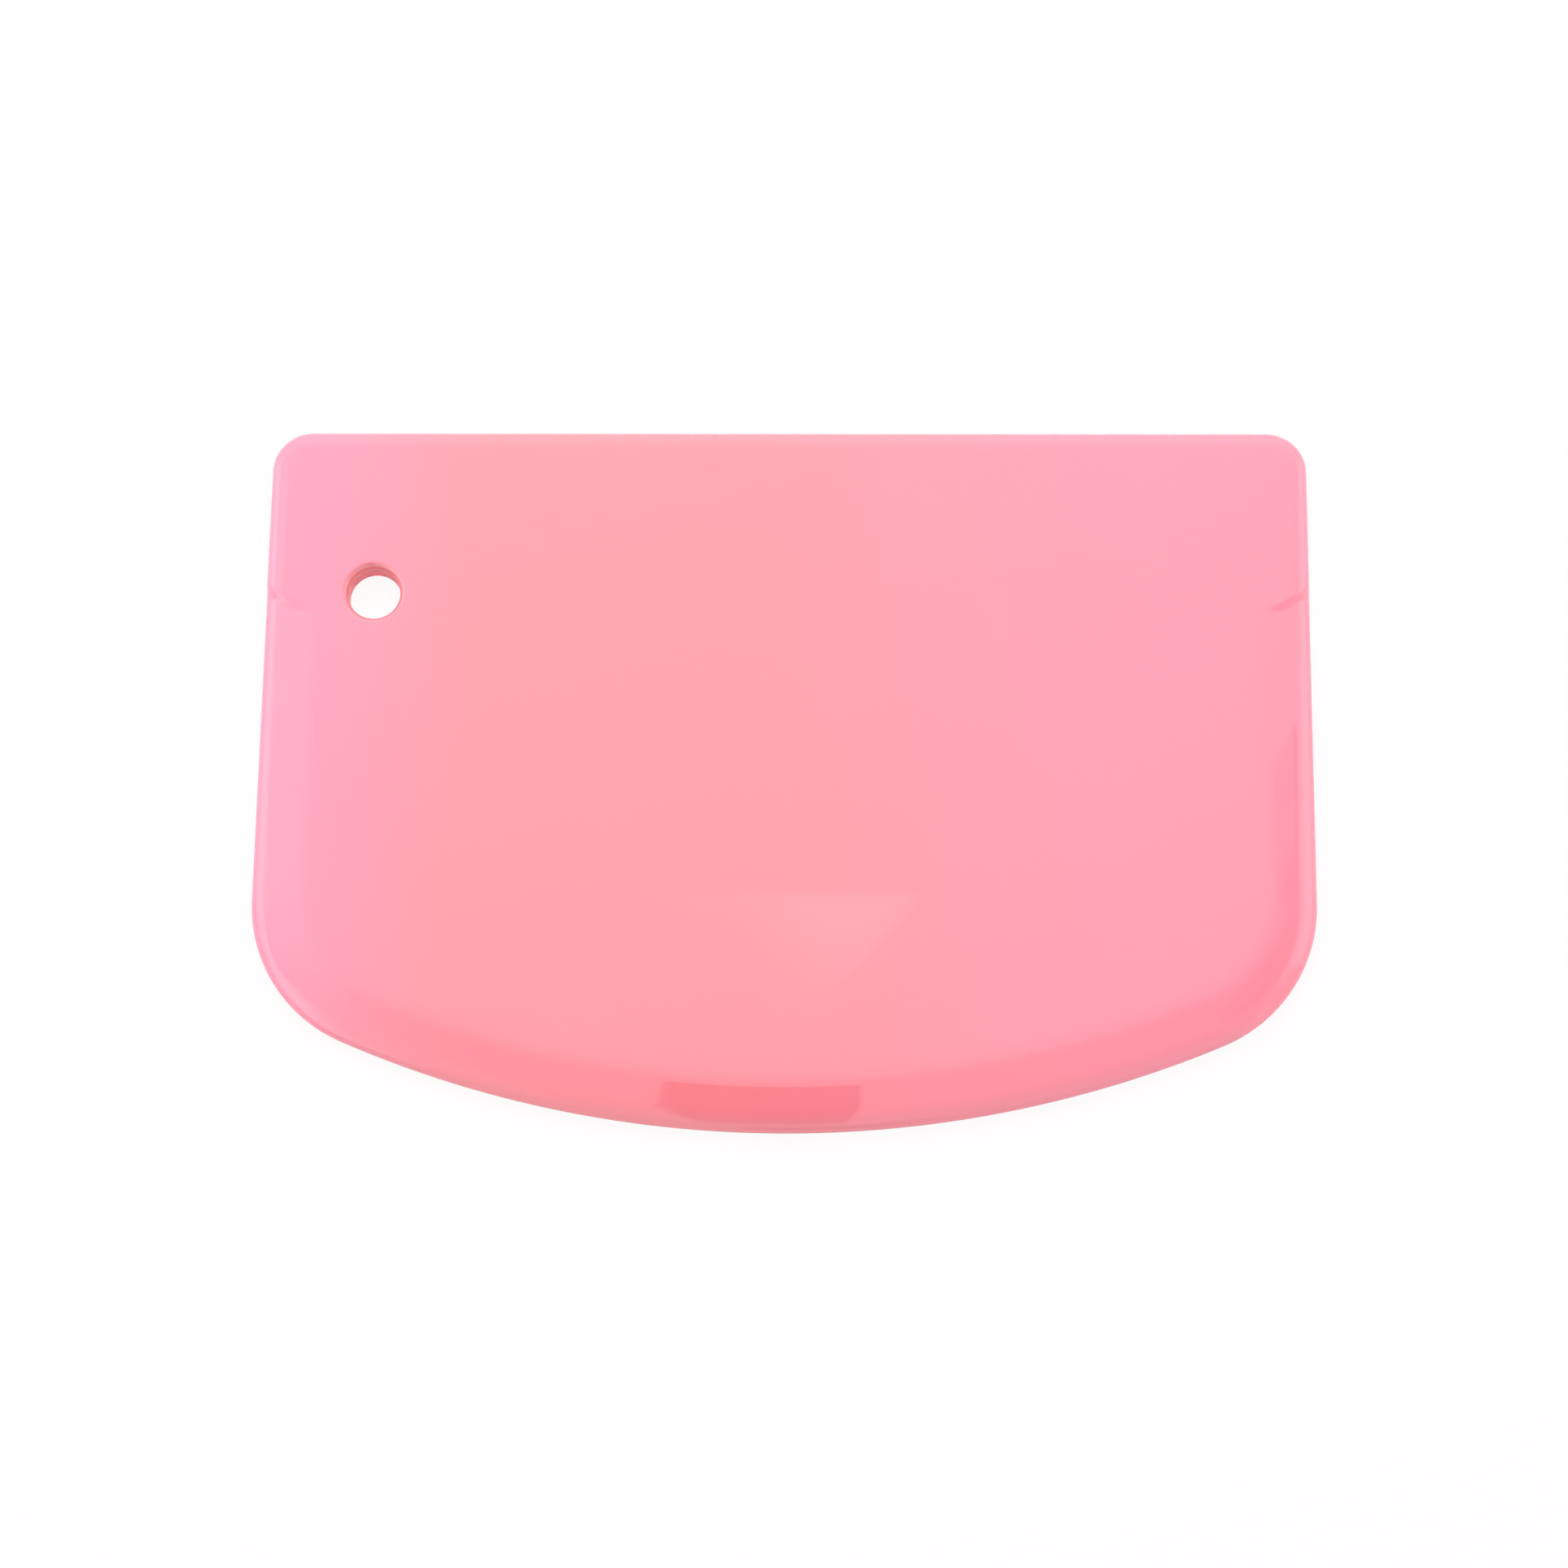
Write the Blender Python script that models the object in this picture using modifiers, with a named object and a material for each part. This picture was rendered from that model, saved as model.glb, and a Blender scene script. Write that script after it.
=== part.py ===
"""Flexible dough scraper, one moulded plate, lying on its flat back.

Metres, +Z up. X runs along the straight edge, and Y from the curved scraping
edge up to the straight edge. The origin is under the middle of the plate, on
the surface that the plate lies on.
"""

from math import asin, atan2, ceil, cos, hypot, pi, radians, sin, sqrt, tan

import bmesh
import bpy

WIDTH = 0.125                    # across the widest place, at the scraping corners
HEIGHT = 0.0854                  # from the straight edge to the lowest point of the arc
THICKNESS = 0.004                # of the grip area
SIDE_TAPER = radians(0.5)        # each side leans in towards the straight edge
GRIP_CORNER_RADIUS = 0.0048
SCRAPING_CORNER_RADIUS = 0.0183
SCRAPING_ARC_RADIUS = 0.130
EDGE_ROUNDING = 0.0014           # along the whole outline, on both faces, and under the bevel

LEAST_EDGE_BAND = 0.0002         # flat band left between the two roundings of a thin plate

BEVEL_WIDTH = 0.0060             # from the outline in to the line where the bevel leaves the face
RIM_THICKNESS = 0.0027           # where the bevel would meet the scraping edge in a sharp edge
SHOULDER_DEPTH = 0.00075         # the same at a shoulder, measured down from the front face
CREST_RADIUS = 0.009             # soft change from the front face to the bevel
SHOULDER_FROM_STRAIGHT_EDGE = 0.0226  # down to the inner end of the step that ends the bevel
SHOULDER_RISE = 0.0029           # of that step's outer end over its inner end
SHOULDER_RADIUS = 0.0100         # the step bulges down along an arc

HOLE_DIAMETER = 0.0062
HOLE_ROUNDING = 0.0009
HOLE_FROM_SIDE = 0.0130          # from the left side to the hole's axis
HOLE_FROM_STRAIGHT_EDGE = 0.0205

CORNER_STEP = radians(5)         # most turn between two points of a corner's arc
LONG_ARC_STEP = radians(1)       # the same on the scraping arc
ROUNDING_STEPS = 5               # facets across an edge rounding or the crest
SHOULDER_STEPS = 8
HOLE_SIDES = 48
CUTTER_OVERSIZE = 0.002          # how far a cutter stands outside the plate
WELD = 1e-6                      # joins a curve's caps to its sides

PLASTIC_COLOUR = (0.990, 0.365, 0.430, 1.0)
PLASTIC_ROUGHNESS = 0.32


def arc(centre, radius, start, end, steps):
    """Points along an arc, from the angle start to the angle end."""
    turn = (end - start) / steps
    return [
        (centre[0] + radius * cos(start + turn * i), centre[1] + radius * sin(start + turn * i))
        for i in range(steps + 1)
    ]


def steps_for(start, end, step):
    return max(1, ceil(abs(end - start) / step))


def run_on(before, last, length):
    """The point that far past last, on the line from before through last."""
    stretch = length / hypot(last[0] - before[0], last[1] - before[1])
    return tuple(b + (b - a) * stretch for a, b in zip(before, last))


def mirrored(points):
    """The same points on the left side, in the order that carries on round the outline."""
    return [(-x, y) for x, y in reversed(points)]


def scraping_corner_centre():
    x = WIDTH / 2 - SCRAPING_CORNER_RADIUS
    reach = SCRAPING_ARC_RADIUS - SCRAPING_CORNER_RADIUS
    return x, SCRAPING_ARC_RADIUS - HEIGHT / 2 - sqrt(reach**2 - x**2)


def side_x(y):
    """Where the right side's straight line stands at that place up the plate."""
    x, corner_y = scraping_corner_centre()
    return x + (SCRAPING_CORNER_RADIUS - sin(SIDE_TAPER) * (y - corner_y)) / cos(SIDE_TAPER)


def scraping_half(inset=0.0):
    """Right half of the scraping edge, from its lowest point round the corner to the side."""
    centre = (0.0, SCRAPING_ARC_RADIUS - HEIGHT / 2)
    corner = scraping_corner_centre()
    meet = atan2(corner[1] - centre[1], corner[0])
    long_steps = steps_for(-pi / 2, meet, LONG_ARC_STEP)
    corner_steps = steps_for(meet, SIDE_TAPER, CORNER_STEP)
    long_arc = arc(centre, SCRAPING_ARC_RADIUS - inset, -pi / 2, meet, long_steps)
    short_arc = arc(corner, SCRAPING_CORNER_RADIUS - inset, meet, SIDE_TAPER, corner_steps)
    return long_arc + short_arc[1:]


def grip_corner(inset=0.0):
    """Right end of the straight edge, from the side to the straight edge."""
    y = HEIGHT / 2 - GRIP_CORNER_RADIUS
    centre = (side_x(y) - GRIP_CORNER_RADIUS / cos(SIDE_TAPER), y)
    steps = steps_for(SIDE_TAPER, pi / 2, CORNER_STEP)
    return arc(centre, GRIP_CORNER_RADIUS - inset, SIDE_TAPER, pi / 2, steps)


def plate_outline(inset):
    right = scraping_half(inset) + grip_corner(inset)
    return right + mirrored(right)[:-1]


def shoulder():
    """Right shoulder: the step's line seen from above, from its inner end out to the side."""
    y = HEIGHT / 2 - SHOULDER_FROM_STRAIGHT_EDGE
    inner = (side_x(y) - BEVEL_WIDTH, y)
    outer = (side_x(y + SHOULDER_RISE), y + SHOULDER_RISE)
    along = (outer[0] - inner[0], outer[1] - inner[1])
    chord = hypot(*along)
    lift = sqrt(SHOULDER_RADIUS**2 - chord**2 / 4) / chord
    centre = (
        (inner[0] + outer[0]) / 2 - along[1] * lift,
        (inner[1] + outer[1]) / 2 + along[0] * lift,
    )
    start = atan2(inner[1] - centre[1], inner[0] - centre[0])
    turn = 2 * asin(chord / 2 / SHOULDER_RADIUS)
    return arc(centre, SHOULDER_RADIUS, start, start + turn, SHOULDER_STEPS)


def bevel_section():
    """What the bevel takes off the scraping edge: (distance in from the outline, height) points."""
    slope = atan2(THICKNESS - RIM_THICKNESS, BEVEL_WIDTH)
    crest_centre = (BEVEL_WIDTH + CREST_RADIUS * tan(slope / 2), THICKNESS - CREST_RADIUS)
    crest = arc(crest_centre, CREST_RADIUS, pi / 2, pi / 2 + slope, ROUNDING_STEPS)
    rim_centre = (EDGE_ROUNDING, RIM_THICKNESS - EDGE_ROUNDING * (1 - sin(slope)) / cos(slope))
    rim = arc(rim_centre, EDGE_ROUNDING, pi / 2 + slope, pi, ROUNDING_STEPS)
    inside = run_on(crest[1], crest[0], CUTTER_OVERSIZE)
    outside = run_on(rim[-2], rim[-1], CUTTER_OVERSIZE)
    top = THICKNESS + CUTTER_OVERSIZE
    box = [(-CUTTER_OVERSIZE, outside[1]), (-CUTTER_OVERSIZE, top), (inside[0], top)]
    return [inside] + crest[1:] + rim[:-1] + [outside] + box


def depth_share(y):
    """How deep the bevel is there, as a share of its depth along the scraping edge."""
    corner = scraping_corner_centre()[1]
    up_the_side = max(0.0, (y - corner) / (shoulder()[0][1] - corner))
    return 1 - (1 - SHOULDER_DEPTH / (THICKNESS - RIM_THICKNESS)) * up_the_side


def link(obj, collection):
    collection.objects.link(obj)
    return obj


def flat_curve(name, points, cyclic=True):
    data = bpy.data.curves.new(name, "CURVE")
    data.dimensions = "2D"
    spline = data.splines.new("POLY")
    spline.points.add(len(points) - 1)
    for point, (x, y) in zip(spline.points, points):
        point.co = (x, y, 0.0, 1.0)
    spline.use_cyclic_u = cyclic
    return bpy.data.objects.new(name, data)


def mesh_of(curve, collection):
    """Replaces a curve by a closed mesh of the same name and place."""
    name = curve.name
    bpy.context.view_layer.update()
    evaluated = curve.evaluated_get(bpy.context.evaluated_depsgraph_get())
    mesh = bpy.data.meshes.new_from_object(evaluated)
    place = curve.matrix_world.copy()
    bpy.data.objects.remove(curve)
    shape = bmesh.new()
    shape.from_mesh(mesh)
    bmesh.ops.remove_doubles(shape, verts=shape.verts, dist=WELD)
    bmesh.ops.recalc_face_normals(shape, faces=shape.faces)
    shape.to_mesh(mesh)
    shape.free()
    obj = bpy.data.objects.new(name, mesh)
    obj.matrix_world = place
    return link(obj, collection)


def as_cutter(obj):
    obj.hide_render = True
    obj.display_type = "WIRE"
    return obj


def boolean(obj, operation, other):
    modifier = obj.modifiers.new(f"{operation.lower()} {other.name}", "BOOLEAN")
    modifier.operation = operation
    modifier.solver = "EXACT"
    modifier.object = other


def plate_blank(collection):
    """The whole plate at grip thickness, rounded along its outline."""
    rounding = min(EDGE_ROUNDING, (THICKNESS - LEAST_EDGE_BAND) / 2)
    curve = link(flat_curve("scraper_plate", plate_outline(rounding)), collection)
    curve.data.fill_mode = "BOTH"
    curve.data.extrude = THICKNESS / 2 - rounding
    curve.data.bevel_depth = rounding
    curve.data.bevel_resolution = ROUNDING_STEPS - 1
    curve.location.z = THICKNESS / 2
    return mesh_of(curve, collection)


def bevel_zone(collection):
    """Everything below the two shoulders, where the rim may be thinned."""
    right = shoulder()
    right.insert(0, run_on(right[1], right[0], CUTTER_OVERSIZE * 2))
    right.append(run_on(right[-2], right[-1], CUTTER_OVERSIZE * 2))
    low = -HEIGHT / 2 - CUTTER_OVERSIZE * 2
    beyond = WIDTH / 2 + CUTTER_OVERSIZE * 2
    right += [(beyond, right[-1][1]), (beyond, low)]
    curve = link(flat_curve("bevel_zone", right + mirrored(right)), collection)
    curve.data.fill_mode = "BOTH"
    curve.data.extrude = THICKNESS + CUTTER_OVERSIZE * 2
    return as_cutter(mesh_of(curve, collection))


def bevel_cutter(collection):
    """The bevel's section carried round the scraping edge, made shallower up the sides."""
    half = scraping_half()
    top = shoulder()[-1][1] + CUTTER_OVERSIZE * 2
    half.append((side_x(top), top))
    inward = [(-distance, height) for distance, height in bevel_section()]
    section = link(flat_curve("bevel_section", inward), collection)
    path = link(flat_curve("bevel_cutter", mirrored(half) + half[1:], cyclic=False), collection)
    path.data.dimensions = "3D"
    path.data.twist_mode = "Z_UP"
    path.data.bevel_mode = "OBJECT"
    path.data.bevel_object = section
    path.data.use_fill_caps = True
    cutter = as_cutter(mesh_of(path, collection))
    bpy.data.objects.remove(section)
    for vertex in cutter.data.vertices:
        vertex.co.z = THICKNESS - (THICKNESS - vertex.co.z) * depth_share(vertex.co.y)
    boolean(cutter, "INTERSECT", bevel_zone(collection))
    return cutter


def hole_cutter(collection):
    """Turned cutter of the hanging hole, flared at both faces for their rounding."""
    centre = (HOLE_DIAMETER / 2 + HOLE_ROUNDING, THICKNESS - HOLE_ROUNDING)
    top = arc(centre, HOLE_ROUNDING, pi / 2, pi, ROUNDING_STEPS)
    top[0] = run_on(top[1], top[0], CUTTER_OVERSIZE)
    bottom = [(x, THICKNESS - z) for x, z in reversed(top)]
    profile = [(0.0, top[0][1])] + top + bottom + [(0.0, bottom[-1][1])]
    mesh = bpy.data.meshes.new("hole_cutter")
    edges = [(i, i + 1) for i in range(len(profile) - 1)]
    mesh.from_pydata([(x, 0.0, z) for x, z in profile], edges, [])
    cutter = as_cutter(link(bpy.data.objects.new("hole_cutter", mesh), collection))
    y = HEIGHT / 2 - HOLE_FROM_STRAIGHT_EDGE
    cutter.location = (HOLE_FROM_SIDE - side_x(y), y, 0.0)
    screw = cutter.modifiers.new("turn", "SCREW")
    screw.axis = "Z"
    screw.steps = HOLE_SIDES
    screw.render_steps = HOLE_SIDES
    screw.use_merge_vertices = True
    screw.merge_threshold = WELD
    return cutter


def plastic():
    material = bpy.data.materials.new("scraper_plastic")
    material.use_nodes = True
    material.diffuse_color = PLASTIC_COLOUR
    shader = material.node_tree.nodes["Principled BSDF"]
    shader.inputs["Base Color"].default_value = PLASTIC_COLOUR
    shader.inputs["Roughness"].default_value = PLASTIC_ROUGHNESS
    shader.inputs["Metallic"].default_value = 0.0
    return material


def main():
    for obj in list(bpy.data.objects):
        bpy.data.objects.remove(obj)
    parts = bpy.data.collections.new("dough_scraper")
    cutters = bpy.data.collections.new("cutters")
    for collection in (parts, cutters):
        bpy.context.scene.collection.children.link(collection)
    plate = plate_blank(parts)
    boolean(plate, "DIFFERENCE", bevel_cutter(cutters))
    boolean(plate, "DIFFERENCE", hole_cutter(cutters))
    plate.data.materials.clear()
    plate.data.materials.append(plastic())
    plate.data.shade_smooth()
    plate.data.set_sharp_from_angle(angle=radians(30))


main()
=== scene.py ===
"""Looks of the dough scraper: its moulded plate at full smoothness, its plastic, and a plain studio."""

from math import atan, atan2, cos, exp, hypot, log, pi, radians, sin, sqrt, tan

import bmesh
import bpy
from mathutils import Matrix, Vector


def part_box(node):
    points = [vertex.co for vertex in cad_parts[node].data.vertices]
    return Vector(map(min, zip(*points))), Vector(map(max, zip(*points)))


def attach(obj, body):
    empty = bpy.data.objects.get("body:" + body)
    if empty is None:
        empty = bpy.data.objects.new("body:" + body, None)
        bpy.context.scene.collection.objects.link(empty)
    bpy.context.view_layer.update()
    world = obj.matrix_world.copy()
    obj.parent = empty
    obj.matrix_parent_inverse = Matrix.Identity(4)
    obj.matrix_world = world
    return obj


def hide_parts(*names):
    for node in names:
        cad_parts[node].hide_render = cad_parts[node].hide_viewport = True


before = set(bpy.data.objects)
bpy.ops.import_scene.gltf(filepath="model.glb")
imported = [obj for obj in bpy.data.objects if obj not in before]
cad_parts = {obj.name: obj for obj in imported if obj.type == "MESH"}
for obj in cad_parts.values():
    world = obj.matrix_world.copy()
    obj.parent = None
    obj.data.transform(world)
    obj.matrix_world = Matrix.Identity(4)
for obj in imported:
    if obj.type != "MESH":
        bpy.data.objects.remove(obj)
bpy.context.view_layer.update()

MM = 0.001
NODE = "scraper_plate"
LOW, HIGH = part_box(NODE)
WIDTH = HIGH[0] - LOW[0]
HEIGHT = HIGH[1] - LOW[1]
THICKNESS = HIGH[2] - LOW[2]

# Outline
SIDE_TAPER = radians(0.5)
GRIP_CORNER_RADIUS = 4.8 * MM
LEAST_GRIP_CORNER_RADIUS = 0.1 * GRIP_CORNER_RADIUS  # for the loops that lie far in
SCRAPING_CORNER_RADIUS = 18.3 * MM
SCRAPING_ARC_RADIUS = 130 * MM

# Rim
EDGE_ROUNDING = 1.4 * MM
ROUNDING_REACH = 2.3 * MM        # on the front the rounding sets in this far from the outline
BEVEL_WIDTH = 6.0 * MM
RIM_THICKNESS = 2.7 * MM         # along the scraping edge
SHOULDER_DEPTH = 0.75 * MM       # the bevel's depth at a shoulder
CREST_SOFTNESS = 0.55 * MM       # length over which the face turns down into the bevel
RIM_BAND = 8.8 * MM              # everything that isn't flat lies this near the outline

# Shoulders, where the bevel ends
SHOULDER_FROM_STRAIGHT_EDGE = 22.6 * MM
SHOULDER_RISE = 2.9 * MM
SHOULDER_RADIUS = 10.0 * MM
SHOULDER_WALL = 1.3 * MM         # the step's wall leans over this length
SHOULDER_MARGIN = 2.0 * MM       # close-set stations run this far past each shoulder
SHOULDER_ARC_REACH = 0.95 * SHOULDER_RADIUS  # further from its centre the shoulder's line runs level

# Hanging hole
HOLE_DIAMETER = 6.2 * MM
HOLE_ROUNDING = 0.9 * MM
HOLE_FROM_SIDE = 13.0 * MM
HOLE_FROM_STRAIGHT_EDGE = 20.5 * MM

# Stations round one half of the outline, and rows across the rim
ARC_STATIONS = 110
CORNER_STATIONS = 56
LOWER_SIDE_STATIONS = 30
SHOULDER_STATIONS = 64
UPPER_SIDE_STATIONS = 14
GRIP_CORNER_STATIONS = 26
STRAIGHT_STATIONS = 30
ROUNDING_ROWS = 12
FACE_ROWS = 28
WALL_ROWS = 3
BACK_ROWS = 3
HOLE_SIDES = 128

# The photograph's camera, in degrees, metres and pixels of its 1932 x 1932 frame
FRAME_PX = 1932
CAMERA_AZIMUTH = 7.187
CAMERA_ELEVATION = 74.157
CAMERA_ROLL = -6.722
CAMERA_DISTANCE = 0.573
FOCAL_LENGTH_PX = 5961.7
CAMERA_TARGET = (-0.054 * MM, -0.289 * MM, 0.0)
SENSOR_MM = 36.0

# Plastic: salmon, and lilac as painted light, and where along X the painted light sets in
SALMON = (0.98, 0.275, 0.329)
PAINTED_LILAC_LIGHT = (0.98, 0.290, 0.438)
HOLE_END_DRIFT = (-35 * MM, -60 * MM)
FAR_END_DRIFT = (-8 * MM, 45 * MM)
FAR_END_SHARE = 0.58
CLOUD_SIZE = 30 * MM
CLOUD_SHARE = 0.06
HOLE_FREE_OF_PAINTED_LIGHT = (3.7 * MM, 4.5 * MM)  # painted light stays off the hole's wall: none within the first, all of it past the second
HOLE_PAINTED_SHADE = (0.76, 0.87, 0.80)             # painted shade: darkens the colour at the hole's upper edge
HOLE_PAINTED_SHADE_SHIFT = (-0.3 * MM, 0.6 * MM)    # of its middle from the hole's, at the front face
HOLE_PAINTED_SHADE_REACH = (2.9 * MM, 3.6 * MM)     # all of it within the first, none past the second

# Plastic: gloss, with smears in it
SMEAR_SIZE = 9 * MM
SMEAR_DETAIL = 4.0
SMEAR_NOISE_RANGE = (0.3, 0.7)
ROUGHNESS_RANGE = (0.29, 0.35)
PLASTIC_VALUES = {
    "IOR": 1.49,
    "Specular IOR Level": 0.25,
    "Coat Weight": 1.0,
    "Coat Roughness": 0.03,
    "Coat IOR": 1.9,
    "Subsurface Weight": 0.05,
    "Subsurface Radius": (1.0, 0.8, 0.75),
    "Subsurface Scale": 1.5 * MM,
}

# Studio
WHITE = (1.0, 1.0, 1.0)
WARM_WHITE = (1.0, 0.81, 0.81)
ROOM_LEVEL = 0.45
ROOM_GLOW = 1.0                  # the room's white, as gloss mirrors it
FLOOR_SIZE = 4.0
FLOOR_GAP = 0.1 * MM
FLOOR_GLOW = 0.92
FLOOR_COLOUR = (0.97, 0.97, 0.97)
FLOOR_ROUGHNESS = 0.9

# Lamps: place and size in metres, and the level that each adds to a surface that faces it squarely
SOFTBOXES = {
    "key_softbox": ((-0.02, 0.13, 0.22), (0.25, 0.25), 0.87),
    "left_softbox": ((-0.48, 0.05, 0.14), (0.60, 0.24), 0.49),
    "right_softbox": ((0.48, 0.05, 0.14), (0.60, 0.24), 0.46),
    "front_softbox": ((0.0, -0.20, 0.35), (0.40, 0.24), 0.08),
}

# Level cards over the plate, which its gloss mirrors: height in mm, glow, the glow round the card,
# and corners in mm as seen from above. A card's edge is soft from its outer corners in to its
# inner ones, and crisp where the two are the same. The dim card lies behind the others.
CARD_HEIGHT = 551
DIM_CARD_HEIGHT = 561
DIM_GLOW = 0.7
CARDS = {
    "dark_card": (
        CARD_HEIGHT, 0.0, DIM_GLOW,
        ((-140, -900), (50, -900), (15.3, -125), (-68, -125)),
        ((-86, -230), (20, -230), (15.3, -125), (-68, -125)),
    ),
    "light_card": (
        CARD_HEIGHT, 1.4, ROOM_GLOW,
        ((-56, 124), (15, 124), (-12, 93), (-33, 114)),
        ((-19, 124), (10, 124), (2, 112), (-10, 114)),
    ),
    "left_card": (
        CARD_HEIGHT, 1.35, ROOM_GLOW,
        ((-700, -130), (-230, -130), (-150, 120), (-150, 330), (-700, 330)),
        ((-700, 200), (-450, 200), (-290, 200), (-290, 250), (-700, 250)),
    ),
    "right_card": (
        CARD_HEIGHT, 0.4, DIM_GLOW,
        ((180, -105), (225, -200), (330, -150), (400, -90), (440, 0), (445, 90), (400, 183),
         (300, 173), (290, 172), (328, 153), (347, 120), (307, 28), (250, -48)),
        ((210, -115), (235, -150), (300, -100), (350, -50), (385, 10), (395, 90), (388, 181),
         (303, 173), (296, 172), (336, 153.5), (354, 120), (322, 24), (268, -62)),
    ),
    "dim_card": (
        DIM_CARD_HEIGHT, DIM_GLOW, ROOM_GLOW,
        ((-240, -800), (700, -800), (700, -250), (430, -60), (400, 183), (293, 172.5), (247, 168.5),
         (280, 150), (290, 120), (245, 50), (190, 8), (135, -25), (100, -30), (-240, -20)),
        ((-160, -300), (500, -300), (500, -290), (385, -75), (376, 180), (293, 171.5), (284, 170.5),
         (326, 153), (343, 120), (300, 30), (245, -45), (172, -95), (100, -112), (-160, -110)),
    ),
}

# Walls round the table, which low views mirror: heights in mm, and posts with their place in mm
# and their glow at each of those heights
WALLS = {
    "left_wall": ((0, 200, 450, 1400), (
        (-700, -1200, 0.6, 1.1, 1.3, 1.0), (-700, -650, 0.5, 1.3, 1.7, 1.0),
        (-700, -400, 0.6, 1.5, 2.0, 1.0), (-700, -250, 0.6, 1.5, 1.9, 1.0),
        (-700, -80, 0.6, 1.3, 1.9, 1.0), (-700, 80, 0.6, 1.3, 1.9, 1.0),
        (-700, 160, 0.8, 1.8, 1.9, 1.0), (-700, 310, 0.8, 1.8, 1.9, 1.0),
        (-700, 450, 0.6, 1.2, 1.5, 1.0), (-700, 700, 0.5, 0.9, 1.2, 1.0),
    )),
    "back_wall": ((0, 200, 450, 1400), (
        (-700, 700, 0.5, 0.9, 1.2, 1.0), (-250, 700, 0.8, 1.4, 1.3, 1.0),
        (250, 700, 0.8, 1.4, 1.3, 1.0), (700, 700, 0.5, 0.9, 1.1, 1.0),
    )),
    "right_wall": ((0, 200, 450, 900), (
        (700, 700, 0.5, 0.9, 1.1, 1.0), (700, 330, 0.8, 1.5, 1.5, 1.0), (700, 170, 0.8, 1.5, 1.5, 1.0),
        (700, 80, 0.6, 1.3, 1.5, 1.0), (700, -100, 0.6, 1.3, 1.5, 1.0),
    )),
    "front_wall": ((0, 600), (
        (-700, -1200, 1.3, 0.8), (-150, -1200, 1.2, 0.8), (-90, -1200, 0.6, 0.8), (60, -1200, 0.6, 0.8),
        (160, -1200, 0.9, 0.8), (400, -1200, 1.0, 1.0), (700, -450, 1.0, 1.0), (700, -350, 0.65, 0.75),
        (700, -150, 0.65, 0.85), (700, -100, 1.3, 1.3),
    )),
}


def scraping_corner_centre():
    """Centre of the right scraping corner's rounding, which joins the scraping arc to the side."""
    x = WIDTH / 2 - SCRAPING_CORNER_RADIUS
    reach = SCRAPING_ARC_RADIUS - SCRAPING_CORNER_RADIUS
    return x, SCRAPING_ARC_RADIUS - HEIGHT / 2 - sqrt(reach**2 - x**2)


def side_point(y, inset=0.0):
    """The point that far in from the right side, straight in from the side's point at y."""
    x, corner_y = scraping_corner_centre()
    side = x + (SCRAPING_CORNER_RADIUS - sin(SIDE_TAPER) * (y - corner_y)) / cos(SIDE_TAPER)
    return side - inset * cos(SIDE_TAPER), y - inset * sin(SIDE_TAPER)


def stretch(a, b, steps):
    """Points from a to b, without a itself."""
    return [tuple(p + (q - p) * i / steps for p, q in zip(a, b)) for i in range(1, steps + 1)]


def arc(centre, radius, start, end, steps):
    """Points on an arc from the angle start to the angle end, without the first."""
    angles = [start + (end - start) * i / steps for i in range(1, steps + 1)]
    return [(centre[0] + radius * cos(a), centre[1] + radius * sin(a)) for a in angles]


def shoulder_ends():
    """The right shoulder's inner end, on the bevel's crest, and its outer one, on the outline."""
    y = HEIGHT / 2 - SHOULDER_FROM_STRAIGHT_EDGE
    return (side_point(y)[0] - BEVEL_WIDTH, y), side_point(y + SHOULDER_RISE)


def half_loop(inset):
    """Right half of the outline moved in, from the scraping arc's lowest point to the straight edge."""
    arc_centre = (0.0, SCRAPING_ARC_RADIUS - HEIGHT / 2)
    corner = scraping_corner_centre()
    meet = atan2(corner[1] - arc_centre[1], corner[0])
    points = [(0.0, -HEIGHT / 2 + inset)]
    points += arc(arc_centre, SCRAPING_ARC_RADIUS - inset, -pi / 2, meet, ARC_STATIONS)
    points += arc(corner, SCRAPING_CORNER_RADIUS - inset, meet, SIDE_TAPER, CORNER_STATIONS)
    inner, outer = shoulder_ends()
    low = side_point(inner[1] - SHOULDER_MARGIN, inset)
    high = side_point(outer[1] + SHOULDER_MARGIN, inset)
    points += stretch(points[-1], low, LOWER_SIDE_STATIONS)
    points += stretch(low, high, SHOULDER_STATIONS)
    radius = max(GRIP_CORNER_RADIUS - inset, LEAST_GRIP_CORNER_RADIUS)
    y = HEIGHT / 2 - inset - radius
    centre = side_point(y + (inset + radius) * sin(SIDE_TAPER), inset + radius)
    start = (centre[0] + radius * cos(SIDE_TAPER), centre[1] + radius * sin(SIDE_TAPER))
    points += stretch(high, start, UPPER_SIDE_STATIONS)
    points += arc(centre, radius, SIDE_TAPER, pi / 2, GRIP_CORNER_STATIONS)
    points += stretch(points[-1], (0.0, HEIGHT / 2 - inset), STRAIGHT_STATIONS)
    return points


def loop(inset):
    """The whole outline moved in, anticlockwise from the scraping arc's lowest point."""
    right = half_loop(inset)
    return right + [(-x, y) for x, y in reversed(right[1:-1])]


def bevel_depth(y):
    """How far the bevel would drop at the outline: full on the scraping edge, less up the sides."""
    corner = scraping_corner_centre()[1]
    up_the_side = max(0.0, (y - corner) / (shoulder_ends()[0][1] - corner))
    full = THICKNESS - RIM_THICKNESS
    return full + (SHOULDER_DEPTH - full) * up_the_side


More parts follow.
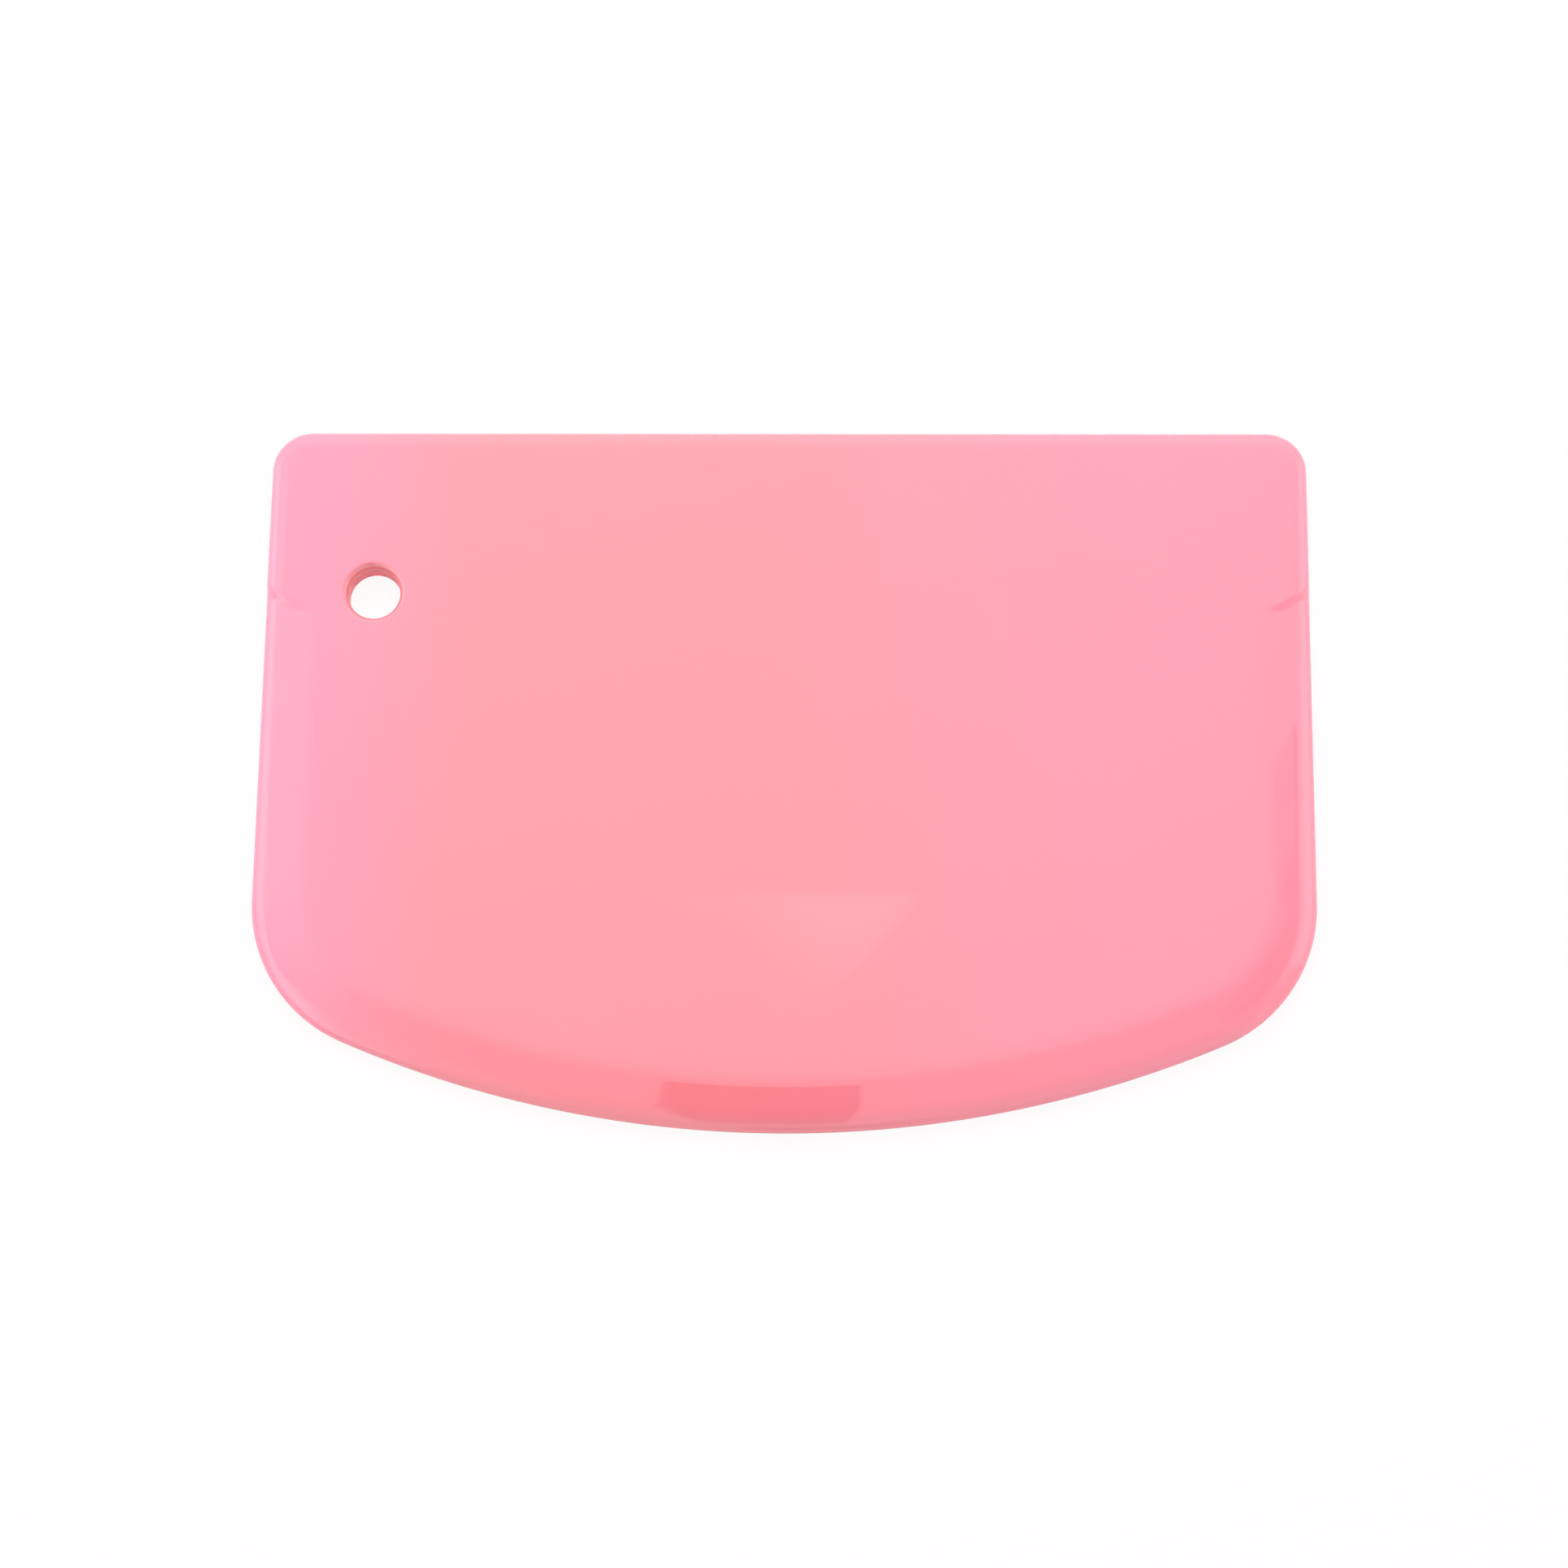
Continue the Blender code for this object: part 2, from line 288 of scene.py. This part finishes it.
def shoulder_share(x, y):
    """0 on the grip's side of a shoulder, 1 on the bevel's side, and between them on its wall."""
    inner, outer = shoulder_ends()
    along = (outer[0] - inner[0], outer[1] - inner[1])
    chord = hypot(*along)
    lift = sqrt(SHOULDER_RADIUS**2 - chord**2 / 4) / chord
    centre_x = (inner[0] + outer[0]) / 2 - along[1] * lift
    centre_y = (inner[1] + outer[1]) / 2 + along[0] * lift
    across = max(0.0, abs(x) - centre_x)
    line = centre_y - sqrt(SHOULDER_RADIUS**2 - min(across, SHOULDER_ARC_REACH) ** 2)
    share = min(1.0, max(0.0, (line - y) / SHOULDER_WALL + 0.5))
    return share * share * (3 - 2 * share)


def front_height(inset, x, y):
    """Height of the front face: flat, then a soft crest and the bevel, and last the rounded rim."""
    slope = atan(bevel_depth(y) * shoulder_share(x, y) / BEVEL_WIDTH)
    past_crest = CREST_SOFTNESS * log(1 + exp((BEVEL_WIDTH - inset) / CREST_SOFTNESS))
    rounding = EDGE_ROUNDING * (1 - sin(slope)) / cos(slope)
    outwards = max(0.0, 1 - inset / ROUNDING_REACH)
    return THICKNESS - tan(slope) * past_crest - rounding * (1 - sqrt(1 - outwards**2))


def front_insets():
    """How far in from the outline the rows of the front rim lie, from the outline inwards."""
    turns = [pi / 2 * i / ROUNDING_ROWS for i in range(ROUNDING_ROWS + 1)]
    step = (RIM_BAND - ROUNDING_REACH) / FACE_ROWS
    face = [ROUNDING_REACH + step * i for i in range(1, FACE_ROWS + 1)]
    return [ROUNDING_REACH * (1 - cos(turn)) for turn in turns] + face


def rim_rings():
    """Rings of points from the front's flat part out over the rim and in to the back's flat part."""
    insets = front_insets()
    rings = [[(x, y, THICKNESS) for x, y in loop(insets[-1])]]
    for inset in reversed(insets[:-1]):
        rings.append([(x, y, front_height(inset, x, y)) for x, y in loop(inset)])
    edge = rings[-1]
    for row in range(1, WALL_ROWS + 1):
        rings.append([(x, y, z + (EDGE_ROUNDING - z) * row / WALL_ROWS) for x, y, z in edge])
    for row in range(1, ROUNDING_ROWS + 1):
        turn = pi / 2 * row / ROUNDING_ROWS
        inset = EDGE_ROUNDING * (1 - cos(turn))
        rings.append([(x, y, EDGE_ROUNDING * (1 - sin(turn))) for x, y in loop(inset)])
    for row in range(1, BACK_ROWS + 1):
        inset = EDGE_ROUNDING + (RIM_BAND - EDGE_ROUNDING) * row / BACK_ROWS
        rings.append([(x, y, 0.0) for x, y in loop(inset)])
    return rings


def hole_centre():
    y = HEIGHT / 2 - HOLE_FROM_STRAIGHT_EDGE
    return HOLE_FROM_SIDE - side_point(y)[0], y


def hole_rings():
    """Rings of points from the front face down through the hole to the back face."""
    quarter = [pi / 2 * i / ROUNDING_ROWS for i in range(ROUNDING_ROWS + 1)]
    front = [(1 - sin(a), THICKNESS - HOLE_ROUNDING * (1 - cos(a))) for a in quarter]
    back = [(share, THICKNESS - z) for share, z in reversed(front)]
    rings = []
    x, y = hole_centre()
    for share, z in front + back:
        radius = HOLE_DIAMETER / 2 + HOLE_ROUNDING * share
        turns = [2 * pi * i / HOLE_SIDES for i in range(HOLE_SIDES)]
        rings.append([(x + radius * cos(a), y + radius * sin(a), z) for a in turns])
    return rings


def bridge(shape, rings):
    """Joins rings of points by rows of faces, and returns the first and last ring's edges."""
    rows = [[shape.verts.new(point) for point in ring] for ring in rings]
    for upper, lower in zip(rows, rows[1:]):
        for i in range(len(upper)):
            shape.faces.new((upper[i - 1], lower[i - 1], lower[i], upper[i]))
    ends = []
    for row in (rows[0], rows[-1]):
        ends.append([shape.edges.get((row[i - 1], row[i])) for i in range(len(row))])
    return ends


def moulded_plate():
    """The plate as one closed mesh: its rim, its hole, and a flat part on each face between them."""
    shape = bmesh.new()
    rim_front, rim_back = bridge(shape, rim_rings())
    hole_front, hole_back = bridge(shape, hole_rings())
    for edges, up in ((rim_front + hole_front, 1), (rim_back + hole_back, -1)):
        bmesh.ops.triangle_fill(shape, edges=edges, use_beauty=True, normal=(0, 0, up))
    bmesh.ops.recalc_face_normals(shape, faces=shape.faces)
    mesh = bpy.data.meshes.new("moulded_plate")
    shape.to_mesh(mesh)
    shape.free()
    mesh.shade_smooth()
    plate = bpy.data.objects.new("moulded_plate", mesh)
    bpy.context.scene.collection.objects.link(plate)
    return plate


def maths(tree, operation, *values):
    """A Math node; its inputs are numbers or other nodes' outputs."""
    made = tree.nodes.new("ShaderNodeMath")
    made.operation = operation
    for socket, value in zip(made.inputs, values):
        if isinstance(value, (int, float)):
            socket.default_value = value
        else:
            tree.links.new(value, socket)
    return made.outputs["Value"]


def ramp(tree, value, start, end, first=0.0, last=1.0):
    """first where value is at start, last where it is at end, and an S between them."""
    made = tree.nodes.new("ShaderNodeMapRange")
    made.interpolation_type = "SMOOTHSTEP"
    for name, number in (("From Min", start), ("From Max", end), ("To Min", first), ("To Max", last)):
        made.inputs[name].default_value = number
    tree.links.new(value, made.inputs["Value"])
    return made.outputs["Result"]


def noise(tree, place, size, detail=2.0):
    """Noise with features of that size; its output lies about 0.5."""
    made = tree.nodes.new("ShaderNodeTexNoise")
    made.inputs["Scale"].default_value = 1 / size
    made.inputs["Detail"].default_value = detail
    tree.links.new(place, made.inputs["Vector"])
    return made.outputs["Fac"]


def two_colours(tree, share, first, second):
    """first where share is 0, second where it is 1, and their mix between."""
    made = tree.nodes.new("ShaderNodeValToRGB")
    for stop, colour in zip(made.color_ramp.elements, (first, second)):
        stop.color = (*colour, 1.0)
    tree.links.new(share, made.inputs["Fac"])
    return made.outputs["Color"]


def distance(tree, place, point):
    """How far place lies from the point."""
    made = tree.nodes.new("ShaderNodeVectorMath")
    made.operation = "DISTANCE"
    made.inputs[1].default_value = point
    tree.links.new(place, made.inputs[0])
    return made.outputs["Value"]


def plastic():
    """Salmon pink moulded plastic, with lilac painted light at both ends, more at the hole's, and
    painted shade at the hole's upper edge.
    """
    material = bpy.data.materials.new("salmon_plastic")
    material.use_nodes = True
    tree = material.node_tree
    shader = tree.nodes["Principled BSDF"]
    place = tree.nodes.new("ShaderNodeTexCoord").outputs["Object"]
    split = tree.nodes.new("ShaderNodeSeparateXYZ")
    tree.links.new(place, split.inputs["Vector"])
    across = split.outputs["X"]
    # painted light: the colour turns lilac towards both ends, more at the hole's
    hole_end = ramp(tree, across, *HOLE_END_DRIFT)
    far_end = ramp(tree, across, *FAR_END_DRIFT, last=FAR_END_SHARE)
    cloud = maths(tree, "SUBTRACT", noise(tree, place, CLOUD_SIZE), 0.5)
    ends = maths(tree, "ADD", hole_end, far_end)
    painted_light_share = maths(tree, "ADD", ends, maths(tree, "MULTIPLY", cloud, CLOUD_SHARE))
    hole_x, hole_y = hole_centre()
    from_hole = distance(tree, place, (hole_x, hole_y, THICKNESS / 2))
    outside = ramp(tree, from_hole, *HOLE_FREE_OF_PAINTED_LIGHT)
    colour_and_painted_light = two_colours(tree, maths(tree, "MULTIPLY", painted_light_share, outside), SALMON, PAINTED_LILAC_LIGHT)
    # painted shade at the hole's upper edge, where its wall lies in shade
    painted_shade_middle = (hole_x + HOLE_PAINTED_SHADE_SHIFT[0], hole_y + HOLE_PAINTED_SHADE_SHIFT[1], THICKNESS)
    free_of_painted_shade = ramp(tree, distance(tree, place, painted_shade_middle), *HOLE_PAINTED_SHADE_REACH)
    with_painted_shade = tree.nodes.new("ShaderNodeVectorMath")
    with_painted_shade.operation = "MULTIPLY"
    tree.links.new(colour_and_painted_light, with_painted_shade.inputs[0])
    tree.links.new(two_colours(tree, free_of_painted_shade, HOLE_PAINTED_SHADE, WHITE), with_painted_shade.inputs[1])
    tree.links.new(with_painted_shade.outputs["Vector"], shader.inputs["Base Color"])
    smears = noise(tree, place, SMEAR_SIZE, SMEAR_DETAIL)
    roughness = ramp(tree, smears, *SMEAR_NOISE_RANGE, *ROUGHNESS_RANGE)
    tree.links.new(roughness, shader.inputs["Roughness"])
    for name, value in PLASTIC_VALUES.items():
        shader.inputs[name].default_value = value
    return material


def photograph_camera():
    """Camera at the photograph's distance and angle, turned by its roll."""
    data = bpy.data.cameras.new("photograph_camera")
    data.sensor_width = SENSOR_MM
    data.lens = FOCAL_LENGTH_PX / FRAME_PX * SENSOR_MM
    azimuth, elevation, roll = (radians(a) for a in (CAMERA_AZIMUTH, CAMERA_ELEVATION, CAMERA_ROLL))
    back = Vector((
        sin(azimuth) * cos(elevation), -cos(azimuth) * cos(elevation), sin(elevation),
    ))
    level = Vector((cos(azimuth), sin(azimuth), 0.0))
    turned = Matrix.Rotation(roll, 3, back) @ level
    axes = Matrix((turned, back.cross(turned), back)).transposed()
    camera = bpy.data.objects.new("photograph_camera", data)
    place = Vector(CAMERA_TARGET) + back * CAMERA_DISTANCE
    camera.matrix_world = Matrix.Translation(place) @ axes.to_4x4()
    bpy.context.scene.collection.objects.link(camera)
    bpy.context.scene.camera = camera


def seen_directly(tree):
    """1 for camera, glossy and transmission rays, which see the white background; 0 for others."""
    path = tree.nodes.new("ShaderNodeLightPath").outputs
    glossy = maths(tree, "MAXIMUM", path["Is Glossy Ray"], path["Is Transmission Ray"])
    return maths(tree, "MAXIMUM", path["Is Camera Ray"], glossy)


def white_room():
    """World that lights surfaces by its own level and looks white in reflections."""
    world = bpy.data.worlds.new("white_room")
    world.use_nodes = True
    bpy.context.scene.world = world
    tree = world.node_tree
    light = tree.nodes["Background"]
    light.inputs["Color"].default_value = (*WARM_WHITE, 1.0)
    light.inputs["Strength"].default_value = ROOM_LEVEL
    seen = tree.nodes.new("ShaderNodeBackground")
    seen.inputs["Color"].default_value = (*WHITE, 1.0)
    seen.inputs["Strength"].default_value = ROOM_GLOW
    mix = tree.nodes.new("ShaderNodeMixShader")
    tree.links.new(seen_directly(tree), mix.inputs["Fac"])
    tree.links.new(light.outputs["Background"], mix.inputs[1])
    tree.links.new(seen.outputs["Background"], mix.inputs[2])
    tree.links.new(mix.outputs["Shader"], tree.nodes["World Output"].inputs["Surface"])


def white_floor():
    """Plain pale floor: part of its white is its own, and the rest takes light and shadow."""
    bpy.ops.mesh.primitive_plane_add(size=FLOOR_SIZE, location=(0.0, 0.0, -FLOOR_GAP))
    floor = bpy.context.object
    floor.name = "floor"
    paper = bpy.data.materials.new("white_floor")
    paper.use_nodes = True
    tree = paper.node_tree
    surface = tree.nodes["Principled BSDF"]
    surface.inputs["Base Color"].default_value = (*FLOOR_COLOUR, 1.0)
    surface.inputs["Roughness"].default_value = FLOOR_ROUGHNESS
    glow = tree.nodes.new("ShaderNodeEmission")
    glow.inputs["Strength"].default_value = 1.0
    mix = tree.nodes.new("ShaderNodeMixShader")
    seen = tree.nodes.new("ShaderNodeLightPath").outputs["Is Camera Ray"]
    tree.links.new(maths(tree, "MULTIPLY", seen, FLOOR_GLOW), mix.inputs["Fac"])
    tree.links.new(surface.outputs["BSDF"], mix.inputs[1])
    tree.links.new(glow.outputs["Emission"], mix.inputs[2])
    tree.links.new(mix.outputs["Shader"], tree.nodes["Material Output"].inputs["Surface"])
    floor.data.materials.append(paper)


def softbox(name, place, size, level):
    """Area lamp that faces the plate."""
    data = bpy.data.lights.new(name, "AREA")
    data.shape = "RECTANGLE"
    data.size, data.size_y = size
    data.color = WARM_WHITE
    data.energy = level * pi**2 * Vector(place).length ** 2
    lamp = bpy.data.objects.new(name, data)
    lamp.location = place
    lamp.rotation_euler = Vector(place).to_track_quat("Z", "Y").to_euler()
    lamp.visible_camera = False
    lamp.visible_glossy = False
    bpy.context.scene.collection.objects.link(lamp)


def mirrored_card(name, corners, faces, glows):
    """Faces that only reflections show, with a glow for each corner."""
    mesh = bpy.data.meshes.new(name)
    mesh.from_pydata([(x * MM, y * MM, z * MM) for x, y, z in corners], [], faces)
    glow = mesh.attributes.new("glow", "FLOAT", "POINT")
    for item, value in zip(glow.data, glows):
        item.value = value
    material = bpy.data.materials.new(name)
    material.use_nodes = True
    tree = material.node_tree
    tree.nodes.remove(tree.nodes["Principled BSDF"])
    light = tree.nodes.new("ShaderNodeEmission")
    read = tree.nodes.new("ShaderNodeAttribute")
    read.attribute_name = "glow"
    tree.links.new(read.outputs["Fac"], light.inputs["Strength"])
    tree.links.new(light.outputs["Emission"], tree.nodes["Material Output"].inputs["Surface"])
    mesh.materials.append(material)
    made = bpy.data.objects.new(name, mesh)
    bpy.context.scene.collection.objects.link(made)
    made.visible_camera = False
    made.visible_diffuse = False
    made.visible_transmission = False
    made.visible_shadow = False


def level_card(name, height, glow, glow_round_it, outer, inner):
    """Card over the plate, with its own glow inside its inner corners."""
    corners = [(x, y, height) for x, y in outer + inner]
    count = len(outer)
    faces = [(i, (i + 1) % count, count + (i + 1) % count, count + i) for i in range(count)]
    glows = [glow_round_it] * count + [glow] * count
    mirrored_card(name, corners, faces + [range(count, 2 * count)], glows)


def wall(name, heights, posts):
    """Wall along the posts, in one row of faces between each two heights."""
    corners = [(x, y, height) for height in heights for x, y, *_ in posts]
    glows = [post[2 + row] for row in range(len(heights)) for post in posts]
    count = len(posts)
    faces = [
        (row + i, row + i + 1, row + count + i + 1, row + count + i)
        for row in range(0, count * (len(heights) - 1), count) for i in range(count - 1)
    ]
    mirrored_card(name, corners, faces, glows)


def studio():
    bpy.context.scene.view_settings.view_transform = "Standard"
    white_room()
    white_floor()
    for name, sizes in SOFTBOXES.items():
        softbox(name, *sizes)
    for name, sizes in CARDS.items():
        level_card(name, *sizes)
    for name, sizes in WALLS.items():
        wall(name, *sizes)


photograph_camera()
plate = moulded_plate()
plate.data.materials.append(plastic())
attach(plate, "root")
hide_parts(NODE)
studio()
